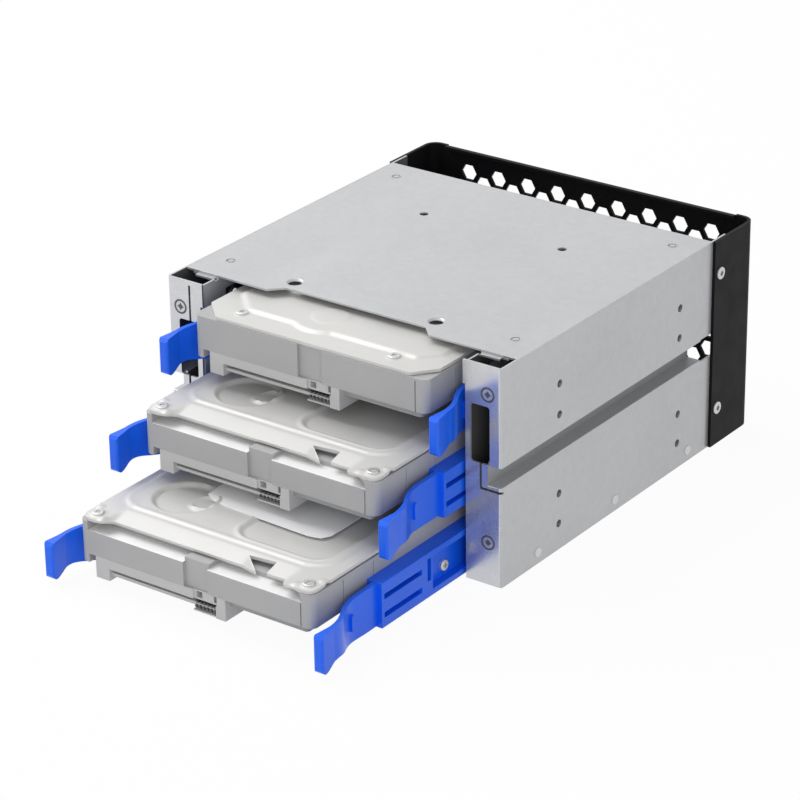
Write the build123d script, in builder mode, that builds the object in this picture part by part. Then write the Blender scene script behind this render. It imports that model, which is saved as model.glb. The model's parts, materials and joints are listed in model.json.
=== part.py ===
"""Adapter cage that carries three 3.5 inch drives on rails in two 5.25 inch bays.

Millimetres. X runs across the cage, Y into its depth from the open cable end, Z up.
Pieces are drawn with Y = 0 at the near face and written with the origin in the middle
of the underside. Right-hand pieces are drawn first, and left-hand ones mirror them.
"""

import os

from build123d import *

os.makedirs("parts", exist_ok=True)

# Cage envelope
cage_width = 145.6
cage_height = 83.4
cage_depth = 137.2
sheet = 0.8
fold = 1.2
post_width = 15.4
panel_tail = 9.0

# Ledge groove along each side wall
groove_below_middle = 3.3
groove_height = 7.4
groove_depth = 5.6
groove_open_end = 7.0

# Threads for the bay screws in the side walls
thread_radius = 1.5
thread_collar = 2.3
thread_collar_depth = 0.9
thread_pitch_y = 79.25
thread_pitch_z = 11.84
thread_near_y = 35.9
thread_low_z = 10.3
bay_spare_height = 1.8

# Near post: window, relief slits, screws
window_inner = 2.6
window_width = 8.0
window_above_groove = 0.2
window_top_inset = 15.4
slit = 0.9
slit_inner = 6.3
slit_top_inset = 2.0
ear_height = 8.9
ear_reach = 1.0
flange_setback = 0.5
post_screw_inset = 5.6
post_screw_low = 16.3
post_screw_top_inset = 10.8
post_screw_head = 2.7
post_screw_shank = 1.5
post_screw_length = 5.0
cone_depth = 1.3
cross_slot = 0.5

# Top cover and bottom panel
cover_setback = 10.2
cover_notch_half = 30.5
cover_notch_depth = 5.0
cover_notch_slope = 5.0
cover_hole_x = 31.0
cover_hole_near_y = 21.0
cover_hole_radius = 1.7
cover_sink_radius = 3.1
bottom_flange = 7.6
clinch_inset = 10.3
clinch_near_y = 23.8
clinch_far_inset = 11.4
clinch_radius = 2.2
clinch_ring = 1.8
clinch_dimple = 1.1
side_rivet_z = 4.5
side_rivet_near_y = 22.7
side_rivet_far_inset = 14.5
side_rivet_count = 3
side_rivet_radius = 1.9
rivet_proud = 0.45

# Guide bracket inside each post
guide_flange = 11.6
guide_tongue_lead = 1.9
guide_tongue_inner = 1.1
guide_tongue_width = 8.0
guide_tail = 3.0
ledge_reach = 4.4
ledge_length = 18.0
ledge_first_y = 14.0
ledge_pitch = 44.0
ledge_count = 3
ledge_clearance = 0.3
tab_height = 9.0
tab_reach = 11.0

# Bezel
bezel_sheet = 1.2
bezel_depth = 28.7
bezel_bend = 5.0
bezel_fold = 1.4
bezel_lip = 2.9
bezel_lip_end = 3.0
bezel_rivet_y = 3.8
bezel_rivet_low = 15.2
bezel_rivet_top_inset = 13.4
bezel_rivet_head = 2.4
bezel_rivet_hole = 1.0
bezel_rivet_shank = 1.6
bezel_rivet_head_height = 0.7
hex_flats = 6.2
hex_pitch = 8.02
hex_side_margin = 5.0
hex_top_margin = 9.3

# Drives: what the rails and levels leave free is the standard 101.6 mm width and 26.1 mm height
drive_length = 147.0
level_clearance = 0.3
top_level_clearance = 1.4
drive_gap = 0.6
drive_corner = 3.0
side_hole_height = 6.35
side_hole_far_insets = (76.9, 16.9)
side_hole_radius = 1.55
near_cut_depth = 24.0
near_cut_height = 11.0
near_foot_height = 7.7
ledge_strip_depth = 7.2
ledge_strip_height = 3.3
ledge_strip_insets = (3.8, 4.5)
ledge_strip_slant = 9.0
near_channel = (-4.5, 6.0)
near_channel_depth = 1.2

# Lids of the drives and their screws; the top drive's lid is of another make, with its near corners cut off
lid_sheet = 1.2
lid_inset = 0.6
plateau_rise = 1.3
plateau_side_inset = 4.3
plateau_near_y = 14.0
plateau_far_inset = 11.0
plateau_corner = 11.0
recess_side_inset = 22.8
recess_y = 31.0
recess_radius = 12.0
recess_hub = 5.0
recess_depth = 1.0
field_depth = 0.8
field_corner = 8.0
field_side_inset = 8.8
field_near_y = 18.4
field_start_x = 1.5
field_wide_y = 58.0
field_far_inset = 21.0
near_border_y = 1.9
near_border_insets = (9.8, 10.8)
notch_corners = ((17.9, 8.7), (26.5, 1.7), (30.6, 1.7), (28.9, 9.7))
cut_lid_corners = (9.0, 7.0)
cut_lid_slope = 1.2
cut_plateau_near_y = 12.0
cut_plateau_chamfer = 8.5
cut_plateau_fillet = 3.0
cut_lid_seat = (-6.0, 22.0)
cut_lid_seat_radius = 6.4
cut_lid_seat_groove = 0.6
cut_lid_seat_depth = 0.3
cut_lid_screw_places = ((-35.0, 8.0), (31.5, 8.0))
lid_screw_inset = 4.8
lid_screw_radius = 2.3
lid_screw_height = 0.9
lid_screw_socket = 1.0
lid_screw_socket_depth = 0.6

# Circuit board under a drive, and the plug body in its near edge
board_z = 8.0
board_thickness = 1.6
board_near_y = 2.5
board_far_inset = 72.5
board_side_gap = 4.0
board_corner = 1.5
connector_inset = 6.8
connector_width = 57.5
connector_length = 13.0
connector_bottom = 2.8
connector_end_walls = (6.0, 4.2)
connector_roof = 7.5
connector_mouth = 10.0
tongue_z = 4.4
tongue_thickness = 1.2
tongue_setback = 1.5

# Sleds: how far each is drawn out from its latched place
latched_face = -12.5
drawn_out = {"bottom": 66.0, "middle": 29.5, "top": 0.0}

# Rails
rail_gap = 0.4
rail_thickness = 6.2
rail_height = 17.2
rail_near = 30.3
rail_far_inset = 6.0
rail_pad_before_screw = 14.1
rail_floor = 3.2
rail_flange = 2.3
rail_nose = 4.0
rail_slot_height = 2.0
rail_slot_insets = (1.5, 2.4)
rail_upper_slot_z = 11.6
rail_lower_slot_z = 4.6
rail_cross_slot = 2.0
rail_cross_slot_height = 8.6
rail_screw_head = 2.2
rail_screw_head_height = 1.3
rail_screw_shank = 1.45
rail_screw_length = 5.5

# Spring handles at the near end of each rail
handle_split = 0.3
handle_thickness = 1.8
handle_root_inset = 2.7
handle_flare = 4.6
handle_bend_start = 18.0
handle_lead = 8.0
handle_tip_swell = 1.2
handle_tip_drop = 2.4
handle_tip_bevel = 1.2
handle_underside = 0.9
handle_arch = 2.3
handle_toe = 4.5
catch_y = 15.2
catch_width = 1.6
catch_fillet = 0.7
catch_height = 6.5
catch_rise = 1.2

half_width = cage_width / 2
guide_x = half_width - post_width
cover_half = half_width - sheet
rail_outer_x = guide_x - rail_gap
rail_far = drive_length - rail_far_inset
rail_pad_end = drive_length - side_hole_far_insets[0] - rail_pad_before_screw
board_far_y = drive_length - board_far_inset
half_drive = rail_outer_x - rail_thickness
drive_width = 2 * half_drive
level_base = sheet + level_clearance
level_pitch = (cage_height - sheet - top_level_clearance - level_base) / 3
levels = {"bottom": level_base, "middle": level_base + level_pitch, "top": level_base + 2 * level_pitch}
drive_height = level_pitch - drive_gap
casting_height = drive_height - lid_sheet - plateau_rise
groove_bottom = cage_height / 2 - groove_below_middle
window_bottom = groove_bottom + groove_height + window_above_groove
window_top = cage_height - window_top_inset
slit_run = window_top_inset - slit_top_inset
post_screw_heights = (post_screw_low, cage_height - post_screw_top_inset)
bay_pitch = (cage_height + bay_spare_height) / 2
thread_heights = [thread_low_z + bay * bay_pitch + n * thread_pitch_z for bay in (0, 1) for n in (0, 1)]
thread_ys = [thread_near_y, thread_near_y + thread_pitch_y]
clinch_x = half_width - clinch_inset
clinch_places = [(x, y) for x in (-clinch_x, clinch_x) for y in (clinch_near_y, cage_depth - clinch_far_inset)]
side_rivet_pitch = (cage_depth - side_rivet_near_y - side_rivet_far_inset) / (side_rivet_count - 1)
side_rivet_places = [(side_rivet_near_y + n * side_rivet_pitch, side_rivet_z) for n in range(side_rivet_count)]
bezel_half = half_width + bezel_sheet
bezel_face_y = cage_depth + bezel_depth
bezel_lip_half = bezel_half - bezel_bend - bezel_lip_end
bezel_rivet_heights = (bezel_rivet_low, cage_height - bezel_rivet_top_inset)
bezel_rivet_places = [(cage_depth + bezel_rivet_y, height) for height in bezel_rivet_heights]
hex_column_step = hex_pitch * 3**0.5 / 2
hex_columns = 2 * int((bezel_lip_half - hex_side_margin) / hex_column_step) + 1
hex_rows = int((cage_height - 2 * hex_top_margin) / hex_pitch) + 1
side_hole_places = [(drive_length - inset, side_hole_height) for inset in side_hole_far_insets]
connector_start = connector_inset - half_drive
connector_middle = connector_start + connector_width / 2


def save(part, name):
    """Move a finished piece to the frame of the whole part, label it and write its file."""
    placed = part.moved(Location((0, -cage_depth / 2, 0)))
    placed.label = name
    export_step(placed, f"parts/{name}.step")


def across(x, datum=Plane.XY):
    """Plane that faces +X at the given X: its own x runs along Y and its own y along Z."""
    return Plane(origin=datum.origin + (x, 0, 0), x_dir=(0, 1, 0), z_dir=(1, 0, 0))


def section(y, datum=Plane.XY):
    """Plane for cross sections at the given Y: its own x runs along X and its own y along Z."""
    return Plane(origin=datum.origin + (0, y, 0), x_dir=(1, 0, 0), z_dir=(0, -1, 0))


def mirrored(part):
    """Left-hand twin of a right-hand piece."""
    with BuildPart() as twin:
        mirror(part, about=Plane.YZ)
    return twin.part


def side_panel(top_slit):
    """Right outer wall with its ledge groove and the near flange that closes the post."""
    groove_top = groove_bottom + groove_height
    floor_x = half_width - groove_depth
    near_inner = guide_x + flange_setback
    with BuildPart() as panel:
        with BuildSketch(Plane.XY) as plan:
            with BuildLine():
                FilletPolyline(
                    (near_inner, 0),
                    (half_width, 0),
                    (half_width, cage_depth + panel_tail),
                    radius=fold,
                )
                offset(amount=sheet, side=Side.LEFT)
            make_face()
        extrude(plan.sketch, amount=cage_height)
        with BuildSketch(section(0)) as ear:
            with Locations((near_inner, cage_height - ear_height / 2)):
                Rectangle(2 * ear_reach, ear_height)
        extrude(ear.sketch, amount=-sheet)
        with BuildSketch(section(sheet / 2)) as groove_sheets:
            with Locations(((half_width + floor_x) / 2 - sheet, (groove_bottom + groove_top) / 2)):
                Rectangle(groove_depth, groove_height + 2 * sheet)
        extrude(groove_sheets.sketch, amount=sheet / 2 - cage_depth - panel_tail)
        with BuildSketch(section(-sheet)) as groove_space:
            with Locations((half_width + sheet - groove_depth / 2, (groove_bottom + groove_top) / 2)):
                Rectangle(groove_depth + 2 * sheet, groove_height)
        extrude(groove_space.sketch, amount=-(cage_depth + panel_tail + 2 * sheet), mode=Mode.SUBTRACT)
        lips = panel.edges().filter_by(Axis.Y).filter_by_position(Axis.X, half_width - 0.01, half_width + 0.01)
        fillet(lips.filter_by_position(Axis.Z, groove_bottom - 0.01, groove_top + 0.01), radius=sheet / 2)
        with BuildSketch(section(0)) as openings:
            with Locations((guide_x + window_inner + window_width / 2, (window_bottom + window_top) / 2)):
                RectangleRounded(window_width, window_top - window_bottom, fold)
            slit_x = guide_x + slit_inner + slit / 2
            with Locations((slit_x, (groove_bottom - slit + window_bottom) / 2)):
                Rectangle(slit, window_bottom - groove_bottom + 2 * slit)
            with Locations(((slit_x + half_width) / 2, groove_bottom - 2 * slit)):
                Rectangle(half_width - slit_x + slit, slit)
            if top_slit:
                with Locations((guide_x + slit_inner - slit, window_top + slit_run / 2)):
                    SlotOverall(slit_run + slit, slit, rotation=90)
        extrude(openings.sketch, amount=-2 * sheet, mode=Mode.SUBTRACT)
        with BuildSketch(across(0)) as open_end:
            with Locations((cage_depth + (panel_tail - groove_open_end) / 2, groove_bottom + groove_height / 2)):
                Rectangle(groove_open_end + panel_tail, groove_height + 2 * sheet)
        extrude(open_end.sketch, amount=half_width + sheet, mode=Mode.SUBTRACT)
        with BuildSketch(across(half_width - sheet / 2)) as collars:
            with Locations(*[(y, z) for y in thread_ys for z in thread_heights]):
                Circle(thread_collar)
        extrude(collars.sketch, amount=-(sheet / 2 + thread_collar_depth))
        with BuildSketch(across(half_width)) as threads:
            with Locations(*[(y, z) for y in thread_ys for z in thread_heights]):
                Circle(thread_radius)
        extrude(threads.sketch, amount=-(sheet + thread_collar_depth), mode=Mode.SUBTRACT)
        with BuildSketch(across(half_width)) as rivet_holes:
            with Locations(*side_rivet_places):
                Circle(side_rivet_radius)
            with Locations(*bezel_rivet_places):
                Circle(bezel_rivet_shank)
        extrude(rivet_holes.sketch, amount=-sheet, mode=Mode.SUBTRACT)
        add(post_screw_seats(), mode=Mode.SUBTRACT)
    return panel.part


def post_screw_seats():
    """Countersunk seats of the two screws in the right post."""
    with BuildPart() as seats:
        for height in post_screw_heights:
            with BuildSketch(section(0)) as mouth:
                with Locations((half_width - post_screw_inset, height)):
                    Circle(post_screw_head)
            with BuildSketch(section(cone_depth)) as throat:
                with Locations((half_width - post_screw_inset, height)):
                    Circle(post_screw_shank)
            loft([mouth.sketch, throat.sketch])
            extrude(throat.sketch, amount=-post_screw_length)
    return seats.part


def post_screws():
    """Four countersunk cross-head screws, two in each post."""
    with BuildPart() as screws:
        add(post_screw_seats())
        for height in post_screw_heights:
            with BuildSketch(section(0)) as cross:
                with Locations((half_width - post_screw_inset, height)):
                    Rectangle(post_screw_head, cross_slot)
                    Rectangle(cross_slot, post_screw_head)
            extrude(cross.sketch, amount=-cone_depth, mode=Mode.SUBTRACT)
        mirror(about=Plane.YZ)
    return screws.part


def cover_outline():
    """Near edge of the cover is set back, and set back further between the two sunk holes."""
    inner_y = cover_setback + cover_notch_depth
    with BuildSketch() as outline:
        with BuildLine():
            Polyline(
                (-cover_half, cover_setback),
                (-cover_notch_half - cover_notch_slope, cover_setback),
                (-cover_notch_half, inner_y),
                (cover_notch_half, inner_y),
                (cover_notch_half + cover_notch_slope, cover_setback),
                (cover_half, cover_setback),
                (cover_half, cage_depth),
                (-cover_half, cage_depth),
                close=True,
            )
        make_face()
    return outline.sketch


def top_cover():
    """Flat top sheet between the side walls."""
    with BuildPart() as cover:
        with BuildSketch(Plane.XY.offset(cage_height - sheet)) as plate:
            add(cover_outline())
        extrude(plate.sketch, amount=sheet)
        far_y = cover_hole_near_y + thread_pitch_y
        with Locations(Plane.XY.offset(cage_height)):
            with Locations((-cover_hole_x, far_y), (cover_hole_x, far_y)):
                Hole(cover_hole_radius, depth=sheet)
            with Locations((-cover_hole_x, cover_hole_near_y), (cover_hole_x, cover_hole_near_y)):
                CounterSinkHole(cover_hole_radius, cover_sink_radius, depth=sheet)
            with Locations(*clinch_places):
                Hole(clinch_radius, depth=sheet)
    return cover.part


def bottom_panel():
    """Bottom sheet with turned-up flanges riveted inside the side walls."""
    with BuildPart() as panel:
        with BuildSketch(Plane.XY) as plate:
            add(cover_outline())
        extrude(plate.sketch, amount=sheet)
        with BuildSketch(Plane.XY) as flanges:
            with Locations((cover_half - sheet / 2, (cover_setback + cage_depth) / 2)):
                Rectangle(sheet, cage_depth - cover_setback)
            mirror(about=Plane.YZ)
        extrude(flanges.sketch, amount=bottom_flange)
        with BuildSketch(across(-cover_half)) as rivets:
            with Locations(*side_rivet_places):
                Circle(side_rivet_radius)
        extrude(rivets.sketch, amount=2 * cover_half, mode=Mode.SUBTRACT)
        with Locations(Plane.XY.offset(sheet)):
            with Locations(*clinch_places):
                Hole(clinch_radius, depth=sheet)
    return panel.part


def ledge_tops():
    """Heights of the faces that carry or hold down a rail, as (height, +1 below a rail or -1 above it)."""
    tops = []
    for name, level in levels.items():
        if name != "bottom":
            tops.append((level - ledge_clearance, 1))
        tops.append((level + rail_height + ledge_clearance, -1))
    return tops


def guide_bracket():
    """Inner wall of the right post, with ledges pressed out of it above and below each rail."""
    bracket_far = cage_depth - guide_tail
    wall_top = cage_height - sheet
    with BuildPart() as bracket:
        with BuildSketch(section(sheet)) as wall:
            with Locations((guide_x + sheet / 2, (wall_top + sheet) / 2)):
                Rectangle(sheet, wall_top - sheet)
        extrude(wall.sketch, amount=-(bracket_far - sheet))
        with BuildSketch(section(cover_setback - guide_tongue_lead)) as flanges:
            for height in (wall_top - sheet / 2, sheet * 1.5):
                with Locations((guide_x + guide_flange / 2, height)):
                    Rectangle(guide_flange, sheet)
        extrude(flanges.sketch, amount=-(bracket_far - cover_setback + guide_tongue_lead))
        tongue_end = guide_x + guide_tongue_inner + guide_tongue_width
        with BuildSketch(Plane.XY.offset(wall_top - sheet)) as tongue_trim:
            with Locations((guide_x + guide_tongue_inner / 2, cover_setback - guide_tongue_lead / 2)):
                Rectangle(guide_tongue_inner, guide_tongue_lead)
            with Locations(((tongue_end + guide_x + guide_flange) / 2, cover_setback - guide_tongue_lead / 2)):
                Rectangle(guide_x + guide_flange - tongue_end, guide_tongue_lead)
        extrude(tongue_trim.sketch, amount=sheet, mode=Mode.SUBTRACT)
        with BuildSketch(section(sheet)) as front_wall:
            with Locations((guide_x + sheet / 2, (wall_top + sheet) / 2)):
                Rectangle(sheet, wall_top - sheet)
            for height in post_screw_heights:
                with Locations((guide_x + tab_reach / 2, height)):
                    Rectangle(tab_reach, tab_height)
        extrude(front_wall.sketch, amount=-sheet)
        for height, up in ledge_tops():
            slab = height - up * sheet / 2
            with BuildSketch(Plane.XY.offset(slab - sheet / 2)) as ledges:
                for n in range(ledge_count):
                    with Locations((guide_x - ledge_reach / 2, ledge_first_y + n * ledge_pitch + ledge_length / 2)):
                        Rectangle(ledge_reach, ledge_length)
            extrude(ledges.sketch, amount=sheet)
        with BuildSketch(across(guide_x)) as pressed_out:
            for height, up in ledge_tops():
                with Locations(
                    *[
                        (ledge_first_y + n * ledge_pitch + ledge_length / 2, height - up * (sheet + ledge_reach / 2))
                        for n in range(ledge_count)
                    ]
                ):
                    Rectangle(ledge_length, ledge_reach)
        extrude(pressed_out.sketch, amount=sheet, mode=Mode.SUBTRACT)
        add(post_screw_seats(), mode=Mode.SUBTRACT)
        with Locations(Plane.XY.offset(cage_height)):
            with Locations(*clinch_places):
                Hole(clinch_radius, depth=2 * sheet)
        with Locations(Plane.XY.offset(2 * sheet)):
            with Locations(*clinch_places):
                Hole(clinch_radius, depth=sheet)
    return bracket.part


def clinch_studs(outer, inner):
    """Round clinch joints between a cover and the flanges of the guide brackets."""
    with BuildPart() as studs:
        with BuildSketch(Plane.XY.offset(min(outer, inner))) as discs:
            with Locations(*clinch_places):
                Circle(clinch_radius)
        extrude(discs.sketch, amount=abs(inner - outer))
        with BuildSketch(Plane.XY.offset(outer)) as dimples:
            with Locations(*clinch_places):
                Circle(clinch_ring)
                Circle(clinch_dimple, mode=Mode.SUBTRACT)
        extrude(dimples.sketch, amount=(inner - outer) / 4, mode=Mode.SUBTRACT)
    return studs.part


def side_rivets():
    """Six flattened rivets that hold the bottom panel's flanges to the side walls."""
    with BuildPart() as rivets:
        with BuildSketch(across(half_width - 2 * sheet)) as shanks:
            with Locations(*side_rivet_places):
                Circle(side_rivet_radius)
        extrude(shanks.sketch, amount=2 * sheet + rivet_proud)
        fillet(rivets.edges().group_by(Axis.X)[-1], radius=rivet_proud)
        mirror(about=Plane.YZ)
    return rivets.part


def bezel():
    """Black plate folded back on all four sides, pierced by a honeycomb of air holes."""
    with BuildPart() as box:
        with BuildSketch(Plane.XY) as plan:
            with BuildLine():
                FilletPolyline(
                    (bezel_half, cage_depth),
                    (bezel_half, bezel_face_y),
                    (-bezel_half, bezel_face_y),
                    (-bezel_half, cage_depth),
                    radius=bezel_bend,
                )
                offset(amount=bezel_sheet, side=Side.LEFT)
            make_face()
        extrude(plan.sketch, amount=cage_height)
        with BuildSketch(Plane.XY) as face_gap:
            with Locations((0, bezel_face_y)):
                Rectangle(2 * bezel_lip_half, 2 * bezel_sheet)
        extrude(face_gap.sketch, amount=cage_height, mode=Mode.SUBTRACT)
        with BuildSketch(across(-bezel_lip_half)) as lips:
            with BuildLine():
                FilletPolyline(
                    (bezel_face_y - bezel_lip, 0),
                    (bezel_face_y, 0),
                    (bezel_face_y, cage_height),
                    (bezel_face_y - bezel_lip, cage_height),
                    radius=bezel_fold,
                )
                offset(amount=bezel_sheet, side=Side.LEFT)
            make_face()
        extrude(lips.sketch, amount=2 * bezel_lip_half)
        middle = (hex_columns - 1) / 2
        with BuildSketch(section(bezel_face_y)) as honeycomb:
            for column in range(hex_columns):
                odd = column % 2
                top_z = cage_height - hex_top_margin - odd * hex_pitch / 2
                column_x = (column - middle) * hex_column_step
                places = [(column_x, top_z - n * hex_pitch) for n in range(hex_rows - odd)]
                with Locations(*places):
                    RegularPolygon(hex_flats / 2, 6, major_radius=False)
        extrude(honeycomb.sketch, amount=bezel_sheet, mode=Mode.SUBTRACT)
        with BuildSketch(across(-bezel_half)) as rivets:
            with Locations(*bezel_rivet_places):
                Circle(bezel_rivet_shank)
        extrude(rivets.sketch, amount=2 * bezel_half, mode=Mode.SUBTRACT)
    return box.part


def bezel_rivets():
    """Four blind rivets through the bezel's flanges and the tails of the side walls."""
    with BuildPart() as rivets:
        with BuildSketch(across(half_width - sheet)) as shanks:
            with Locations(*bezel_rivet_places):
                Circle(bezel_rivet_shank)
        extrude(shanks.sketch, amount=sheet + bezel_sheet)
        with BuildSketch(across(bezel_half)) as heads:
            with Locations(*bezel_rivet_places):
                Circle(bezel_rivet_head)
        extrude(heads.sketch, amount=bezel_rivet_head_height)
        fillet(rivets.edges().group_by(Axis.X)[-1], radius=bezel_rivet_head_height / 2)
        with BuildSketch(across(half_width - sheet)) as bores:
            with Locations(*bezel_rivet_places):
                Circle(bezel_rivet_hole)
        extrude(bores.sketch, amount=bezel_sheet + bezel_half, mode=Mode.SUBTRACT)
        mirror(about=Plane.YZ)
    return rivets.part


def drive_base(datum, has_ledges):
    """Cast body of a drive: open underneath at its near end and hollowed for the board, with two sunk ledges
    at the top of its near face on the make whose lid leaves them bare."""
    with BuildPart() as base:
        with BuildSketch(datum) as outline:
            with Locations((0, drive_length / 2)):
                RectangleRounded(drive_width, drive_length, drive_corner)
        extrude(outline.sketch, amount=casting_height)
        with BuildSketch(section(0, datum)) as near_cut:
            with Locations((0, near_foot_height / 2)):
                Rectangle(drive_width, near_foot_height)
            with Locations((board_side_gap / 2, near_cut_height / 2)):
                Rectangle(drive_width - board_side_gap, near_cut_height)
        extrude(near_cut.sketch, amount=-near_cut_depth, mode=Mode.SUBTRACT)
        hollow_end = board_far_y + board_side_gap
        with BuildSketch(datum) as board_hollow:
            with Locations((0, (near_cut_depth + hollow_end) / 2)):
                Rectangle(drive_width - 2 * drive_corner, hollow_end - near_cut_depth)
        extrude(board_hollow.sketch, amount=board_z + board_thickness, mode=Mode.SUBTRACT)
        left_inset, right_inset = ledge_strip_insets
        left_end, right_end = left_inset - half_drive, half_drive - right_inset
        channel_start, channel_end = near_channel
        if has_ledges:
            with BuildSketch(datum.offset(casting_height)) as strips:
                with Locations(((left_end + channel_start) / 2, ledge_strip_depth / 2)):
                    Rectangle(channel_start - left_end, ledge_strip_depth)
                with BuildLine():
                    Polyline(
                        (channel_end, 0),
                        (right_end, 0),
                        (right_end - ledge_strip_slant, ledge_strip_depth),
                        (channel_end, ledge_strip_depth),
                        close=True,
                    )
                make_face()
            extrude(strips.sketch, amount=-ledge_strip_height, mode=Mode.SUBTRACT)
        with BuildSketch(section(0, datum)) as channel:
            with Locations(((channel_start + channel_end) / 2, (near_cut_height + casting_height) / 2)):
                Rectangle(channel_end - channel_start, casting_height - near_cut_height)
        extrude(channel.sketch, amount=-near_channel_depth, mode=Mode.SUBTRACT)
        with BuildSketch(across(-half_drive, datum)) as side_holes:
            with Locations(*side_hole_places):
                Circle(side_hole_radius)
        extrude(side_holes.sketch, amount=drive_width, mode=Mode.SUBTRACT)
    return base.part


def lid_corners(y):
    """Places of the two corner screws of a lid at the given distance from its near edge."""
    side_x = half_drive - lid_screw_inset
    return [(-side_x, y), (side_x, y)]


def lid_blank(datum):
    """Flat sheet of a lid with rounded corners."""
    with BuildPart() as blank:
        with BuildSketch(datum.offset(casting_height)) as outline:
            with Locations((0, drive_length / 2)):
                RectangleRounded(drive_width - 2 * lid_inset, drive_length - 2 * lid_inset, drive_corner)
        extrude(outline.sketch, amount=lid_sheet)
    return blank.part


def swept_lid(datum):
    """Lid with a raised middle, the round seat over the spindle, and a lower field with round corners. Its near
    border is set back between the corner lobes, with a notch beside a folded tab."""
    far_y = drive_length - plateau_far_inset
    plateau_half = half_drive - plateau_side_inset
    field_end_x = half_drive - field_side_inset
    field_far_y = drive_length - field_far_inset
    with BuildPart() as lid:
        add(lid_blank(datum))
        with BuildSketch(datum.offset(casting_height + lid_sheet)) as plateau:
            with Locations((0, (plateau_near_y + far_y) / 2)):
                RectangleRounded(2 * plateau_half, far_y - plateau_near_y, plateau_corner)
        extrude(plateau.sketch, amount=plateau_rise)
        with BuildSketch(datum.offset(drive_height)) as recess:
            with Locations((recess_side_inset - half_drive, recess_y)):
                Circle(recess_radius)
                Circle(recess_hub, mode=Mode.SUBTRACT)
        extrude(recess.sketch, amount=-recess_depth, mode=Mode.SUBTRACT)
        with BuildSketch(datum.offset(drive_height)) as field:
            for start_x, start_y in ((field_start_x, field_near_y), (-field_end_x, field_wide_y)):
                with Locations(((start_x + field_end_x) / 2, (start_y + field_far_y) / 2)):
                    RectangleRounded(field_end_x - start_x, field_far_y - start_y, field_corner)
        extrude(field.sketch, amount=-field_depth, mode=Mode.SUBTRACT)
        border_start, border_end = near_border_insets[0] - half_drive, half_drive - near_border_insets[1]
        with BuildSketch(datum.offset(casting_height)) as border:
            with Locations(((border_start + border_end) / 2, near_border_y / 2)):
                Rectangle(border_end - border_start, near_border_y)
            with BuildLine():
                Polyline(*notch_corners, close=True)
            make_face()
        extrude(border.sketch, amount=lid_sheet, mode=Mode.SUBTRACT)
    return lid.part


def cut_lid(datum):
    """Lid whose two near corners are cut off, with a raised middle to match and one round seat."""
    far_y = drive_length - plateau_far_inset
    plateau_half = half_drive - plateau_side_inset
    shoulder = plateau_half - cut_plateau_chamfer
    lid_half = half_drive - lid_inset
    with BuildPart() as lid:
        add(lid_blank(datum))
        with BuildSketch(datum.offset(casting_height)) as corners:
            for side, cut in zip((-1, 1), cut_lid_corners):
                with BuildLine():
                    Polyline(
                        (side * (lid_half - cut), lid_inset),
                        (side * lid_half, lid_inset),
                        (side * lid_half, lid_inset + cut * cut_lid_slope),
                        close=True,
                    )
                make_face()
        extrude(corners.sketch, amount=lid_sheet, mode=Mode.SUBTRACT)
        with BuildSketch(datum.offset(casting_height + lid_sheet)) as plateau:
            with BuildLine():
                FilletPolyline(
                    (-plateau_half, cut_plateau_near_y + cut_plateau_chamfer),
                    (-shoulder, cut_plateau_near_y),
                    (shoulder, cut_plateau_near_y),
                    (plateau_half, cut_plateau_near_y + cut_plateau_chamfer),
                    (plateau_half, far_y),
                    (-plateau_half, far_y),
                    radius=cut_plateau_fillet,
                    close=True,
                )
            make_face()
        extrude(plateau.sketch, amount=plateau_rise)
        with BuildSketch(datum.offset(drive_height)) as seat:
            with Locations(cut_lid_seat):
                Circle(cut_lid_seat_radius)
                Circle(cut_lid_seat_radius - cut_lid_seat_groove, mode=Mode.SUBTRACT)
        extrude(seat.sketch, amount=-cut_lid_seat_depth, mode=Mode.SUBTRACT)
    return lid.part


def lid_screws(datum, near_places):
    """Socket-head screws of a lid: two at the given places near its plug end and two at its far corners."""
    seat = drive_height - plateau_rise
    places = [*near_places, *lid_corners(drive_length - lid_screw_inset)]
    with BuildPart() as screws:
        with BuildSketch(datum.offset(seat)) as heads:
            with Locations(*places):
                Circle(lid_screw_radius)
        extrude(heads.sketch, amount=lid_screw_height)
        fillet(screws.edges().group_by(Axis.Z)[-1], radius=lid_screw_height / 2)
        with BuildSketch(datum.offset(seat + lid_screw_height)) as sockets:
            with Locations(*places):
                RegularPolygon(lid_screw_socket, 6)
        extrude(sockets.sketch, amount=-lid_screw_socket_depth, mode=Mode.SUBTRACT)
    return screws.part


def drive_board(datum):
    """Circuit board under the near half of a drive, notched for the plug body."""
    with BuildPart() as board:
        with BuildSketch(datum.offset(board_z)) as outline:
            with Locations((0, (board_near_y + board_far_y) / 2)):
                RectangleRounded(drive_width - 2 * board_side_gap, board_far_y - board_near_y, board_corner)
            with Locations((connector_middle, connector_length / 2)):
                Rectangle(connector_width, connector_length, mode=Mode.SUBTRACT)
        extrude(outline.sketch, amount=board_thickness)
    return board.part


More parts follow.
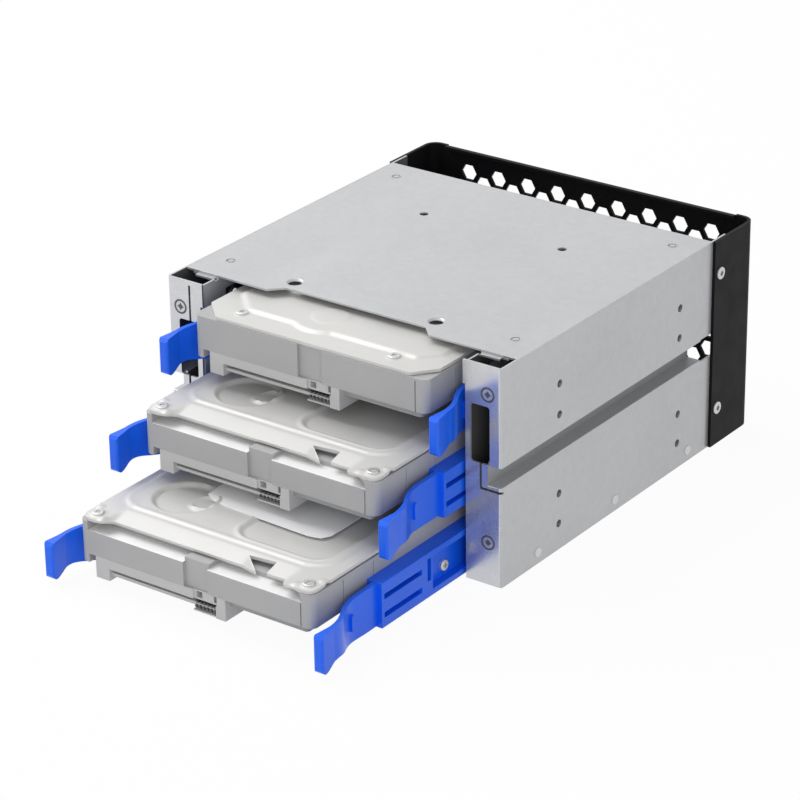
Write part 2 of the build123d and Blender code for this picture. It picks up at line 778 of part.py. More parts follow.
def drive_connector(datum):
    """Data and power plug body in the near edge of the board, with its contact tongue in an open mouth."""
    left_wall, right_wall = connector_end_walls
    mouth_middle = connector_middle + (left_wall - right_wall) / 2
    mouth_width = connector_width - left_wall - right_wall
    with BuildPart() as connector:
        with BuildSketch(section(0, datum)) as body:
            with Locations((connector_middle, (connector_bottom + near_cut_height) / 2)):
                Rectangle(connector_width, near_cut_height - connector_bottom)
        extrude(body.sketch, amount=-connector_length)
        with BuildSketch(section(0, datum)) as mouth:
            with Locations((mouth_middle, (connector_bottom + connector_roof) / 2)):
                Rectangle(mouth_width, connector_roof - connector_bottom)
        extrude(mouth.sketch, amount=-connector_mouth, mode=Mode.SUBTRACT)
        with BuildSketch(section(tongue_setback, datum)) as tongue:
            with Locations((mouth_middle, tongue_z + tongue_thickness / 2)):
                Rectangle(mouth_width, tongue_thickness)
        extrude(tongue.sketch, amount=-(connector_mouth - tongue_setback))
    return connector.part


def rail(datum):
    """Right rail: a pad with two slots near its handle, then an open channel that holds the screws."""
    side = across(rail_outer_x, datum)
    middle_z = rail_height / 2
    with BuildPart() as block:
        with BuildSketch(side) as face:
            with BuildLine():
                Polyline(
                    (rail_near, 0),
                    (rail_near, rail_height),
                    (rail_far - rail_nose, rail_height),
                    (rail_far, rail_height - rail_nose),
                    (rail_far, rail_nose),
                    (rail_far - rail_nose, 0),
                    close=True,
                )
            make_face()
        extrude(face.sketch, amount=-rail_thickness)
        with BuildSketch(side) as channel:
            with Locations(((rail_pad_end + rail_far) / 2, middle_z)):
                Rectangle(rail_far - rail_pad_end - 2 * rail_nose, rail_height - 2 * rail_flange)
        extrude(channel.sketch, amount=-rail_floor, mode=Mode.SUBTRACT)
        slot_start, slot_end = rail_near + rail_slot_insets[0], rail_pad_end - rail_slot_insets[1]
        with BuildSketch(side) as upper_slot:
            with Locations(((slot_start + slot_end) / 2, rail_upper_slot_z)):
                Rectangle(slot_end - slot_start, rail_slot_height)
            with Locations((rail_pad_end + rail_cross_slot, rail_upper_slot_z - rail_slot_height / 2)):
                Rectangle(rail_cross_slot, rail_cross_slot_height)
        extrude(upper_slot.sketch, amount=-rail_thickness, mode=Mode.SUBTRACT)
        with BuildSketch(side) as lower_slot:
            with Locations(((slot_start + slot_end) / 2, rail_lower_slot_z)):
                Rectangle(slot_end - slot_start, rail_slot_height)
        extrude(lower_slot.sketch, amount=-rail_thickness / 2, mode=Mode.SUBTRACT)
        with BuildSketch(side) as screw_holes:
            with Locations(*side_hole_places):
                Circle(side_hole_radius)
        extrude(screw_holes.sketch, amount=-rail_thickness, mode=Mode.SUBTRACT)
    return block.part


def rail_screws(datum):
    """Screws through the floors of both rails into the sides of the drive."""
    seat = across(rail_outer_x - rail_floor, datum)
    with BuildPart() as screws:
        with BuildSketch(seat) as heads:
            with Locations(*side_hole_places):
                Circle(rail_screw_head)
        extrude(heads.sketch, amount=rail_screw_head_height)
        fillet(screws.edges().group_by(Axis.X)[-1], radius=rail_screw_head_height / 2)
        with BuildSketch(seat) as shanks:
            with Locations(*side_hole_places):
                Circle(rail_screw_shank)
        extrude(shanks.sketch, amount=-rail_screw_length)
        with BuildSketch(seat.offset(rail_screw_head_height)) as crosses:
            with Locations(*side_hole_places):
                Rectangle(rail_screw_head, cross_slot)
                Rectangle(cross_slot, rail_screw_head)
        extrude(crosses.sketch, amount=-rail_screw_head_height / 2, mode=Mode.SUBTRACT)
        mirror(about=Plane.YZ)
    return screws.part


def handle(datum):
    """Right spring arm: leaves the rail thin, swings outwards in an S and ends in a thumb pad."""
    half = handle_thickness / 2
    root_x = rail_outer_x - handle_root_inset
    pad_x = root_x + handle_flare
    root_y = rail_near - handle_split
    bend_middle = handle_bend_start / 2
    tip_y = -handle_lead
    inner_x = root_x - half - handle_tip_swell
    outer_x = pad_x + half + handle_tip_swell
    top_z = rail_height
    drop = handle_tip_drop
    with BuildPart() as arm:
        with BuildSketch(datum) as plan:
            with BuildLine():
                Line((root_x + half, root_y), (root_x + half, handle_bend_start))
                Bezier(
                    (root_x + half, handle_bend_start),
                    (root_x + half, bend_middle),
                    (pad_x + half, bend_middle),
                    (pad_x + half, 0),
                )
                Line((pad_x + half, 0), (pad_x + half + handle_tip_swell, tip_y))
                Line((pad_x + half + handle_tip_swell, tip_y), (pad_x - half - handle_tip_swell, tip_y))
                Line((pad_x - half - handle_tip_swell, tip_y), (pad_x - half, 0))
                Bezier(
                    (pad_x - half, 0),
                    (pad_x - half, bend_middle),
                    (root_x - half, bend_middle),
                    (root_x - half, handle_bend_start),
                )
                Line((root_x - half, handle_bend_start), (root_x - half, root_y))
                Line((root_x - half, root_y), (root_x + half, root_y))
            make_face()
        extrude(plan.sketch, amount=rail_height)
        fillet(arm.edges().filter_by(Axis.Z).group_by(Axis.Y)[0], radius=half)
        with BuildSketch(across(inner_x, datum)) as profile:
            with BuildLine():
                Line((root_y, handle_underside), (root_y, top_z))
                Line((root_y, top_z), (handle_bend_start, top_z - drop / 6))
                Spline(
                    (handle_bend_start, top_z - drop / 6),
                    (bend_middle, top_z - drop * 0.6),
                    (0, top_z - drop * 0.9),
                    (tip_y + handle_tip_bevel, top_z - drop),
                )
                Line((tip_y + handle_tip_bevel, top_z - drop), (tip_y, top_z - drop - handle_tip_bevel))
                Line((tip_y, top_z - drop - handle_tip_bevel), (tip_y, handle_arch))
                Spline(
                    (tip_y, handle_arch),
                    (tip_y + handle_toe / 2, handle_underside / 2),
                    (tip_y + handle_toe, handle_underside),
                    (0, handle_arch),
                    (bend_middle, (handle_arch + handle_underside) / 2),
                    (handle_bend_start, handle_underside),
                    (root_y, handle_underside),
                )
            make_face()
        extrude(profile.sketch, amount=outer_x - inner_x, mode=Mode.INTERSECT)
        with BuildSketch(across(root_x, datum)) as catch:
            with Locations((catch_y, rail_height / 2)):
                RectangleRounded(catch_width, catch_height, catch_fillet)
        extrude(catch.sketch, amount=half + catch_rise)
    return arm.part


save(top_cover(), "top_cover")
save(bottom_panel(), "bottom_panel")
save(side_panel(top_slit=False), "right_side_panel")
save(mirrored(side_panel(top_slit=True)), "left_side_panel")
bracket = guide_bracket()
save(bracket, "right_guide_bracket")
save(mirrored(bracket), "left_guide_bracket")
save(post_screws(), "post_screws")
save(clinch_studs(cage_height, cage_height - 2 * sheet), "top_clinch_studs")
save(clinch_studs(0, 2 * sheet), "bottom_clinch_studs")
save(side_rivets(), "side_rivets")
save(bezel(), "bezel")
save(bezel_rivets(), "bezel_rivets")

for name, level in levels.items():
    datum = Plane(origin=(0, latched_face - drawn_out[name], level), x_dir=(1, 0, 0), z_dir=(0, 0, 1))
    save(drive_base(datum, has_ledges=name != "top"), f"{name}_drive_base")
    if name == "top":
        save(cut_lid(datum), f"{name}_drive_lid")
        save(lid_screws(datum, cut_lid_screw_places), f"{name}_lid_screws")
    else:
        save(swept_lid(datum), f"{name}_drive_lid")
        save(lid_screws(datum, lid_corners(lid_screw_inset)), f"{name}_lid_screws")
    save(drive_board(datum), f"{name}_drive_board")
    save(drive_connector(datum), f"{name}_drive_connector")
    right_rail = rail(datum)
    save(right_rail, f"{name}_right_rail")
    save(mirrored(right_rail), f"{name}_left_rail")
    save(rail_screws(datum), f"{name}_rail_screws")
    right_handle = handle(datum)
    save(right_handle, f"{name}_right_handle")
    save(mirrored(right_handle), f"{name}_left_handle")
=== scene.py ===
# %% [markdown]
# # Dressing a hard drive cage
# The cage is folded sheet steel: zinc plated walls, a top cover and a black bezel full of hexagonal air
# holes. Three drives sit in it on blue plastic rails, and each rail ends in a springy handle. The
# engineering model is loaded first and never moved. Each later cell makes one finish, or models one piece
# that needs more shape than the engineering solid has.

# %% Load the frame
import bpy
import json
import math
from mathutils import Matrix, Vector


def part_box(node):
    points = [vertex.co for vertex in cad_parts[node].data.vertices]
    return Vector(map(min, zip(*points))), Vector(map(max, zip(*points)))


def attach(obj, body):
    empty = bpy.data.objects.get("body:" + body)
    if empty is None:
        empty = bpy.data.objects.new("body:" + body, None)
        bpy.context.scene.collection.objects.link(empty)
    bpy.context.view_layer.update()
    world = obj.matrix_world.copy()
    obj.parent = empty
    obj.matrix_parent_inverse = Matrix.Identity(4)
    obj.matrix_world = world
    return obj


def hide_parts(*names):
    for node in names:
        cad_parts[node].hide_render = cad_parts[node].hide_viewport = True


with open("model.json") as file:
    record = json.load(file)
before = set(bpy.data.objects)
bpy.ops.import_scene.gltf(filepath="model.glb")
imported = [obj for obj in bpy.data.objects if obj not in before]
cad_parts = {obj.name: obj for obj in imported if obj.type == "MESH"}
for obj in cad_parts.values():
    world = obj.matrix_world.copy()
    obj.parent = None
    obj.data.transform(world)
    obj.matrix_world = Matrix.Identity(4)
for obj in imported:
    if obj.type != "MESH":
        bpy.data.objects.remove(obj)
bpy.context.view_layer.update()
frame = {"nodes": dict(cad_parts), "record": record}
bpy.context.scene.view_settings.view_transform = "Standard"
mm = 0.001

# %% [markdown]
# ## Camera
# The photograph was taken with a long lens from the right of the open end, a little above the cage. A
# long lens could be imitated with a closer camera and a crop, but then near edges would grow. So the
# place, the turn about the upright axis, the dip and the slight roll are set one by one, which keeps them
# easy to read and to change.

# %% Place the camera
camera_place = (649.5 * mm, -909.1 * mm, 547.1 * mm)
camera_turn = math.radians(36.377)
camera_dip = math.radians(24.966)
camera_roll = math.radians(-0.856)

bpy.ops.object.camera_add()
camera = bpy.context.object
camera.name = "camera"
camera.data.sensor_width = 36.0
camera.data.lens = 149.8
camera.data.clip_start = 0.05
camera.matrix_world = (
    Matrix.Translation(camera_place)
    @ Matrix.Rotation(camera_turn, 4, "Z")
    @ Matrix.Rotation(math.pi / 2 - camera_dip, 4, "X")
    @ Matrix.Rotation(camera_roll, 4, "Z")
)
bpy.context.scene.camera = camera
print("camera at", [round(v, 3) for v in camera.location])

# %% [markdown]
# ## Light, floor and background
# The photograph has even studio light with a pure white background. The white comes from what the camera,
# mirrors and glass see of the world, while the light that falls on the object is set apart, at a plain
# level. A wide lamp at the upper left makes the top brighter than the sides, and its left edge brightest,
# as in the picture. The low lamp at the right is kept out of reflections, or the top would glare when
# seen from behind.

# %% Light the studio
def link(tree, source, target):
    """Join two sockets of a node tree."""
    tree.links.new(source, target)


def seen_directly(tree):
    """A value of 1 for what the camera, a mirror or glass sees, and 0 for light that falls on the object."""
    path = tree.nodes.new("ShaderNodeLightPath")
    either = tree.nodes.new("ShaderNodeMath")
    either.operation = "MAXIMUM"
    link(tree, path.outputs["Is Camera Ray"], either.inputs[0])
    link(tree, path.outputs["Is Glossy Ray"], either.inputs[1])
    every = tree.nodes.new("ShaderNodeMath")
    every.operation = "MAXIMUM"
    link(tree, either.outputs[0], every.inputs[0])
    link(tree, path.outputs["Is Transmission Ray"], every.inputs[1])
    return every.outputs[0]


sky_light = 0.47
world = bpy.data.worlds.new("studio")
world.use_nodes = True
bpy.context.scene.world = world
sky = world.node_tree
sky_background = sky.nodes["Background"]
sky_background.inputs["Color"].default_value = (1.0, 1.0, 1.0, 1.0)
sky_strength = sky.nodes.new("ShaderNodeMapRange")
sky_strength.inputs["To Min"].default_value = sky_light
sky_strength.inputs["To Max"].default_value = 1.0
link(sky, seen_directly(sky), sky_strength.inputs["Value"])
link(sky, sky_strength.outputs["Result"], sky_background.inputs["Strength"])

def add_lamp(name, place, size, watts, mirrored=True):
    """A square soft lamp aimed at the middle of the cage; a low one is kept out of reflections."""
    bpy.ops.object.light_add(type="AREA", location=place)
    lamp = bpy.context.object
    lamp.name = name
    lamp.data.shape = "SQUARE"
    lamp.data.size = size
    lamp.data.energy = watts
    lamp.visible_glossy = mirrored
    aim = Vector((0.0, 0.0, 0.04)) - lamp.location
    lamp.rotation_euler = aim.to_track_quat("-Z", "Y").to_euler()


add_lamp("overhead_lamp", (-0.8, 0.0, 0.95), 0.8, 12.5)
add_lamp("front_lamp", (-0.2, -1.4, 1.2), 1.2, 2.5)
add_lamp("right_lamp", (1.0, -1.0, 0.4), 0.7, 5.5, False)
print("sky light", sky_light)

# %% Lay the floor
bpy.ops.mesh.primitive_plane_add(size=8.0, location=(0, 0, -0.0001))
floor = bpy.context.object
floor.name = "studio_floor"
floor_finish = bpy.data.materials.new("studio_floor")
floor_finish.use_nodes = True
floor_tree = floor_finish.node_tree
floor_shader = floor_tree.nodes["Principled BSDF"]
floor_shader.inputs["Base Color"].default_value = (0.8, 0.8, 0.8, 1.0)
floor_shader.inputs["Roughness"].default_value = 0.9
floor_shader.inputs["Specular IOR Level"].default_value = 0.1
floor_glow = floor_tree.nodes.new("ShaderNodeEmission")
floor_glow.inputs["Color"].default_value = (1.0, 1.0, 1.0, 1.0)
floor_glow.inputs["Strength"].default_value = 1.0
floor_mix = floor_tree.nodes.new("ShaderNodeMixShader")
floor_share = floor_tree.nodes.new("ShaderNodeMapRange")
floor_share.inputs["To Min"].default_value = 0.0
floor_share.inputs["To Max"].default_value = 0.95
link(floor_tree, seen_directly(floor_tree), floor_share.inputs["Value"])
link(floor_tree, floor_share.outputs["Result"], floor_mix.inputs["Fac"])
link(floor_tree, floor_shader.outputs["BSDF"], floor_mix.inputs[1])
link(floor_tree, floor_glow.outputs["Emission"], floor_mix.inputs[2])
link(floor_tree, floor_mix.outputs["Shader"], floor_tree.nodes["Material Output"].inputs["Surface"])
floor.data.materials.append(floor_finish)
print("floor laid")

# %% [markdown]
# ## Effects that several finishes share
# Sheet steel, cast metal and moulded plastic all show a fine grain, and all carry a few marks of use.
# Each effect could be copied into every material, but a node group with named sockets keeps one recipe in
# one place. A group only gives out values and normals here, and the shader stays in the material.

# %% Build the effect groups
def new_group(name, inputs, outputs):
    """An empty shader node group with number inputs {name: value} and outputs [(name, kind)]."""
    group = bpy.data.node_groups.new(name, "ShaderNodeTree")
    for label, value in inputs.items():
        kind = "NodeSocketColor" if isinstance(value, tuple) else "NodeSocketFloat"
        socket = group.interface.new_socket(label, in_out="INPUT", socket_type=kind)
        socket.default_value = value
    for label, kind in outputs:
        group.interface.new_socket(label, in_out="OUTPUT", socket_type=kind)
    start = group.nodes.new("NodeGroupInput")
    end = group.nodes.new("NodeGroupOutput")
    return group, start, end


def noise(tree, scale, detail=2.0, stretch=(1.0, 1.0, 1.0)):
    """A noise texture on Object coordinates, stretched along the axes if asked."""
    where = tree.nodes.new("ShaderNodeTexCoord")
    mapping = tree.nodes.new("ShaderNodeMapping")
    mapping.inputs["Scale"].default_value = stretch
    texture = tree.nodes.new("ShaderNodeTexNoise")
    texture.inputs["Scale"].default_value = scale
    texture.inputs["Detail"].default_value = detail
    link(tree, where.outputs["Object"], mapping.inputs["Vector"])
    link(tree, mapping.outputs["Vector"], texture.inputs["Vector"])
    return texture.outputs["Fac"]


def spread(tree, value, low, high):
    """Map a noise value around the middle onto the range from low to high."""
    node = tree.nodes.new("ShaderNodeMapRange")
    node.inputs["From Min"].default_value = 0.3
    node.inputs["From Max"].default_value = 0.7
    node.inputs["To Min"].default_value = low
    node.inputs["To Max"].default_value = high
    link(tree, value, node.inputs["Value"])
    return node.outputs["Result"]


def math_node(tree, operation, first, second):
    """One arithmetic node on two numbers or sockets."""
    node = tree.nodes.new("ShaderNodeMath")
    node.operation = operation
    for place, value in enumerate((first, second)):
        if isinstance(value, (int, float)):
            node.inputs[place].default_value = value
        else:
            link(tree, value, node.inputs[place])
    return node.outputs[0]


def shade_of(tree, colour, amount):
    """A colour made darker or lighter by a factor near 1."""
    node = tree.nodes.new("ShaderNodeVectorMath")
    node.operation = "SCALE"
    link(tree, colour, node.inputs[0])
    link(tree, amount, node.inputs["Scale"])
    return node.outputs[0]


def bump(tree, height, distance, strength):
    """A Bump node fed by a height."""
    node = tree.nodes.new("ShaderNodeBump")
    node.inputs["Distance"].default_value = distance
    link(tree, strength, node.inputs["Strength"])
    link(tree, height, node.inputs["Height"])
    return node.outputs["Normal"]


surface_outputs = [
    ("Color", "NodeSocketColor"),
    ("Roughness", "NodeSocketFloat"),
    ("Normal", "NodeSocketVector"),
]

sheet_inputs = {
    "Color": (0.7, 0.7, 0.7, 1.0),
    "Roughness": 0.4,
    "Spangle": 0.04,
    "Scuffs": 0.05,
    "Grain": 0.2,
}
sheet_group, sheet_in, sheet_out = new_group("rolled sheet", sheet_inputs, surface_outputs)
crystal_where = sheet_group.nodes.new("ShaderNodeTexCoord")
crystals = sheet_group.nodes.new("ShaderNodeTexVoronoi")
crystals.inputs["Scale"].default_value = 420.0
link(sheet_group, crystal_where.outputs["Object"], crystals.inputs["Vector"])
crystal_tone = sheet_group.nodes.new("ShaderNodeSeparateColor")
link(sheet_group, crystals.outputs["Color"], crystal_tone.inputs["Color"])
crystal_shift = math_node(sheet_group, "SUBTRACT", crystal_tone.outputs["Red"], 0.5)
crystal_share = math_node(sheet_group, "MULTIPLY", crystal_shift, sheet_in.outputs["Spangle"])
cloud = spread(sheet_group, noise(sheet_group, 22.0, 4.0), -0.5, 0.5)
cloud_share = math_node(sheet_group, "MULTIPLY", cloud, sheet_in.outputs["Scuffs"])
sheet_tone = math_node(sheet_group, "ADD", math_node(sheet_group, "ADD", crystal_share, cloud_share), 1.0)
link(sheet_group, shade_of(sheet_group, sheet_in.outputs["Color"], sheet_tone), sheet_out.inputs["Color"])
rub = spread(sheet_group, noise(sheet_group, 60.0, 5.0, (1.0, 0.25, 1.0)), -0.06, 0.06)
sheet_rough = math_node(sheet_group, "ADD", sheet_in.outputs["Roughness"], rub)
link(sheet_group, sheet_rough, sheet_out.inputs["Roughness"])
sheet_grain = bump(sheet_group, noise(sheet_group, 1600.0, 3.0), 0.00004, sheet_in.outputs["Grain"])
link(sheet_group, sheet_grain, sheet_out.inputs["Normal"])

grain_inputs = {
    "Color": (0.5, 0.5, 0.5, 1.0),
    "Roughness": 0.5,
    "Mottle": 0.05,
    "Grain": 0.3,
    "Grain Scale": 900.0,
}
grain_group, grain_in, grain_out = new_group("fine grain", grain_inputs, surface_outputs)
mottle = spread(grain_group, noise(grain_group, 45.0, 4.0), -0.5, 0.5)
mottle_share = math_node(grain_group, "MULTIPLY", mottle, grain_in.outputs["Mottle"])
grain_tone = math_node(grain_group, "ADD", mottle_share, 1.0)
link(grain_group, shade_of(grain_group, grain_in.outputs["Color"], grain_tone), grain_out.inputs["Color"])
grain_rub = spread(grain_group, noise(grain_group, 120.0, 4.0), -0.05, 0.05)
link(grain_group, math_node(grain_group, "ADD", grain_in.outputs["Roughness"], grain_rub),
     grain_out.inputs["Roughness"])
grain_where = grain_group.nodes.new("ShaderNodeTexCoord")
grain_noise = grain_group.nodes.new("ShaderNodeTexNoise")
grain_noise.inputs["Detail"].default_value = 3.0
link(grain_group, grain_where.outputs["Object"], grain_noise.inputs["Vector"])
link(grain_group, grain_in.outputs["Grain Scale"], grain_noise.inputs["Scale"])
grain_bump = bump(grain_group, grain_noise.outputs["Fac"], 0.00005, grain_in.outputs["Grain"])
link(grain_group, grain_bump, grain_out.inputs["Normal"])
print("groups:", [group.name for group in bpy.data.node_groups])

# %% [markdown]
# ## Finishes
# Zinc plated steel is a dull mirror: it needs some metal and some plain grey, or the sides would be as
# white as the studio. The rails are saturated blue plastic with a soft gloss. The bezel is black paint
# with a fine texture, and the drives are pale cast and pressed metal.

# %% Make the finishes
def finish(name, group, colour, rough, metal, specular=0.5, coat=0.0, **settings):
    """A material whose colour, roughness and normal come from one of the effect groups."""
    material = bpy.data.materials.new(name)
    material.use_nodes = True
    tree = material.node_tree
    shader = tree.nodes["Principled BSDF"]
    shader.inputs["Metallic"].default_value = metal
    shader.inputs["Specular IOR Level"].default_value = specular
    shader.inputs["Coat Weight"].default_value = coat
    shader.inputs["Coat Roughness"].default_value = 0.15
    effect = tree.nodes.new("ShaderNodeGroup")
    effect.node_tree = group
    effect.inputs["Color"].default_value = (*colour, 1.0)
    effect.inputs["Roughness"].default_value = rough
    for label, value in settings.items():
        effect.inputs[label.replace("_", " ")].default_value = value
    link(tree, effect.outputs["Color"], shader.inputs["Base Color"])
    link(tree, effect.outputs["Roughness"], shader.inputs["Roughness"])
    link(tree, effect.outputs["Normal"], shader.inputs["Normal"])
    return material


finishes = {
    "zinc_sheet": finish(
        "zinc_sheet", sheet_group, (0.5, 0.505, 0.52), 0.34, 0.45,
        Spangle=0.05, Scuffs=0.06, Grain=0.25,
    ),
    # Painted light: a paler, glossier copy of the zinc for the faces that look toward the open end.
    "front_painted_light_zinc": finish(
        "front_painted_light_zinc", sheet_group, (0.62, 0.625, 0.635), 0.27, 0.75,
        Spangle=0.04, Scuffs=0.06, Grain=0.2,
    ),
    # Painted shade: a darker copy of the zinc for the groove floors, which the overhang shades.
    "groove_painted_shade_zinc": finish(
        "groove_painted_shade_zinc", sheet_group, (0.3, 0.305, 0.315), 0.45, 0.3,
        Spangle=0.05, Scuffs=0.08, Grain=0.25,
    ),
    # Painted shade: a near-black copy of the zinc for faces inside the posts, where hardly any light
    # arrives.
    "painted_shade_zinc": finish(
        "painted_shade_zinc", sheet_group, (0.1, 0.1, 0.105), 0.5, 0.2,
        Spangle=0.05, Scuffs=0.1, Grain=0.25,
    ),
    "black_paint": finish(
        "black_paint", grain_group, (0.006, 0.006, 0.007), 0.5, 0.0,
        specular=0.1, Mottle=0.1, Grain=0.35, Grain_Scale=1400.0,
    ),
    "rivet_steel": finish(
        "rivet_steel", grain_group, (0.6, 0.6, 0.6), 0.35, 0.8,
        Mottle=0.1, Grain=0.2,
    ),
    "screw_steel": finish(
        "screw_steel", grain_group, (0.62, 0.62, 0.62), 0.32, 0.7,
        Mottle=0.08, Grain=0.1,
    ),
    # Dark steel of the connector pins; the same finish is painted shade on the rings and recess discs of the
    # post screws.
    "dark_steel_and_painted_shade": finish(
        "dark_steel_and_painted_shade", grain_group, (0.12, 0.12, 0.125), 0.45, 0.5,
        Mottle=0.1, Grain=0.15,
    ),
    "blue_plastic": finish(
        "blue_plastic", grain_group, (0.006, 0.12, 0.85), 0.34, 0.0,
        specular=0.35, coat=0.05, Mottle=0.06, Grain=0.12, Grain_Scale=700.0,
    ),
    "cast_alloy": finish(
        "cast_alloy", grain_group, (0.4, 0.4, 0.405), 0.5, 0.15,
        Mottle=0.06, Grain=0.4, Grain_Scale=1100.0,
    ),
    "lid_steel": finish(
        "lid_steel", sheet_group, (0.6, 0.595, 0.58), 0.42, 0.1,
        Spangle=0.01, Scuffs=0.05, Grain=0.12,
    ),
    "board": finish(
        "board", grain_group, (0.3, 0.31, 0.31), 0.5, 0.0,
        Mottle=0.05, Grain=0.1,
    ),
    "connector_plastic": finish(
        "connector_plastic", grain_group, (0.5, 0.5, 0.5), 0.45, 0.0,
        Mottle=0.04, Grain=0.1,
    ),
    # Partly painted light: pale milled metal, made near white to stand in for light that the lid keeps off
    # the ledges.
    "milled_painted_light_alloy": finish(
        "milled_painted_light_alloy", grain_group, (0.85, 0.85, 0.85), 0.4, 0.1,
        Mottle=0.03, Grain=0.1,
    ),
    "label_white": finish(
        "label_white", grain_group, (0.95, 0.95, 0.96), 0.45, 0.0,
        Mottle=0.02, Grain=0.05,
    ),
}

slot_of = {part["node"]: part["material_slot"] for part in frame["record"]["subparts"]}
for node, obj in frame["nodes"].items():
    obj.data.materials.clear()
    obj.data.materials.append(finishes[slot_of[node]])
print("finishes:", len(finishes), "on nodes:", len(slot_of))

# %% [markdown]
# ## Tools for the pieces
# Folded sheet and moulded plastic never end in a razor edge. The engineering solids do, so a piece is
# copied, its triangles are joined back into flat faces, its edges are rounded a little, and the copy
# takes its place.

# %% Define the modelling tools
def only(piece):
    """Select one object and nothing else."""
    bpy.ops.object.select_all(action="DESELECT")
    piece.select_set(True)
    bpy.context.view_layer.objects.active = piece


def apply_modifier(piece, kind, **settings):
    """Add a modifier with its settings and apply it at once."""
    only(piece)
    modifier = piece.modifiers.new(kind.lower(), kind)
    for name, value in settings.items():
        setattr(modifier, name, value)
    bpy.ops.object.modifier_apply(modifier=modifier.name)


def rounded(piece, width, segments=2):
    """Round the sharp edges of a piece and shade it smooth where it is round."""
    if width:
        apply_modifier(piece, "BEVEL", width=width * mm, segments=segments, limit_method="ANGLE",
                       angle_limit=math.radians(35), use_clamp_overlap=True)
    only(piece)
    bpy.ops.object.shade_smooth_by_angle(angle=math.radians(32))
    apply_modifier(piece, "WEIGHTED_NORMAL", keep_sharp=True, weight=80)


def copy_of(node):
    """A copy of an engineering piece, with its triangles joined into flat faces."""
    only(frame["nodes"][node])
    bpy.ops.object.duplicate()
    piece = bpy.context.object
    piece.name = node + "_dressed"
    bpy.ops.object.mode_set(mode="EDIT")
    bpy.ops.mesh.select_all(action="SELECT")
    bpy.ops.mesh.remove_doubles(threshold=0.002 * mm)
    bpy.ops.mesh.dissolve_limited(angle_limit=math.radians(0.6))
    bpy.ops.object.mode_set(mode="OBJECT")
    return piece


def body_of(node):
    """The body that an engineering piece belongs to."""
    return next(body for body, nodes in frame["record"]["behaviour"]["bodies"].items() if node in nodes)


def stand_in(piece, node):
    """The piece is shown instead of the engineering piece, on the same body."""
    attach(piece, body_of(node))
    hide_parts(node)
    return piece


def detail(piece, body, slot):
    """A small piece that only the dressed model has."""
    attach(piece, body)
    return piece


def block(name, low, high, finish_name, bevel=0.0):
    """A box between two corners in millimetres, with its place in its mesh."""
    middle = [(a + b) / 2 * mm for a, b in zip(low, high)]
    size = [(b - a) * mm for a, b in zip(low, high)]
    bpy.ops.mesh.primitive_cube_add(size=1.0, location=middle)
    piece = bpy.context.object
    piece.name = name
    piece.scale = size
    bpy.ops.object.transform_apply(location=True, rotation=True, scale=True)
    piece.data.materials.append(finishes[finish_name])
    if bevel:
        rounded(piece, bevel)
    return piece


def drive_origin(sled):
    """Middle of a drive's near lower edge, in millimetres."""
    low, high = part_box(f"{sled}_drive_base")
    return Vector(((low[0] + high[0]) / 2, low[1], low[2])) / mm


sleds = ("bottom", "middle", "top")
print("drive origins:", {sled: [round(v, 1) for v in drive_origin(sled)] for sled in sleds})

# %% [markdown]
# ## Folded sheet pieces
# The fold lines and cut edges of the cage catch thin bright lines in the picture, so each sheet piece
# gets a small edge radius. The black bezel is thicker and gets a larger one. Inside the posts and on the
# floor of the grooves hardly any light arrives, so those faces are picked by their place and normal and
# get darker copies of the zinc: painted shade. The faces of the side panels that look toward the open
# end get a paler, glossier copy of the zinc: painted light.

# %% Dress the sheet pieces
sheet_edge = 0.18
bezel_edge = 0.3
wall_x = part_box("right_side_panel")[1][0]


def refinish(piece, finish_name, chosen):
    """Give another finish to the faces for which chosen(middle, normal) holds."""
    piece.data.materials.append(finishes[finish_name])
    last = len(piece.data.materials) - 1
    faces = [face for face in piece.data.polygons if chosen(face.center, face.normal)]
    for face in faces:
        face.material_index = last
    return len(faces)


for node in ("top_cover", "bottom_panel", "right_side_panel", "left_side_panel", "right_guide_bracket",
             "left_guide_bracket"):
    panel = copy_of(node)
    rounded(panel, sheet_edge)
    side = 1 if node.startswith("right") else -1
    if node.endswith("side_panel"):
        # Painted shade: the inner faces of the side panels get the near-black copy of the zinc.
        refinish(panel, "painted_shade_zinc", lambda middle, normal: normal.x * side < -0.7)
        # Painted shade: the groove floors, facing outward and set in from the wall, get the darker zinc.
        refinish(panel, "groove_painted_shade_zinc", lambda middle, normal: normal.x * side > 0.7
                 and middle.x * side < wall_x - 3 * mm)
        # Painted light: the faces that look toward the open end get the paler, glossier zinc.
        refinish(panel, "front_painted_light_zinc", lambda middle, normal: normal.y < -0.9)
    elif node.endswith("guide_bracket"):
        # Painted shade: the bracket faces that look into the post get the near-black copy of the zinc.
        refinish(panel, "painted_shade_zinc", lambda middle, normal: normal.x * side > 0.7)
    stand_in(panel, node)
bezel = copy_of("bezel")
rounded(bezel, bezel_edge)
stand_in(bezel, "bezel")
print("sheet pieces dressed")

# %% [markdown]
# ## Rings round the post screws
# Each countersunk head sits a hair below its seat, and the shade in that gap draws a dark ring round it.
# Such a gap could be cut into the sheet, but a thin dark ring laid over the joint paints that shade and
# leaves the sheet whole. A small dark disc paints the shade in the recess of the head the same way.

# %% Ring the post screws
ring_outer = 2.85
ring_inner = 2.1
recess_radius = 0.95
disc_thickness = 0.04
head_radius = 2.7
screws_low, screws_high = (Vector(corner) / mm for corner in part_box("post_screws"))


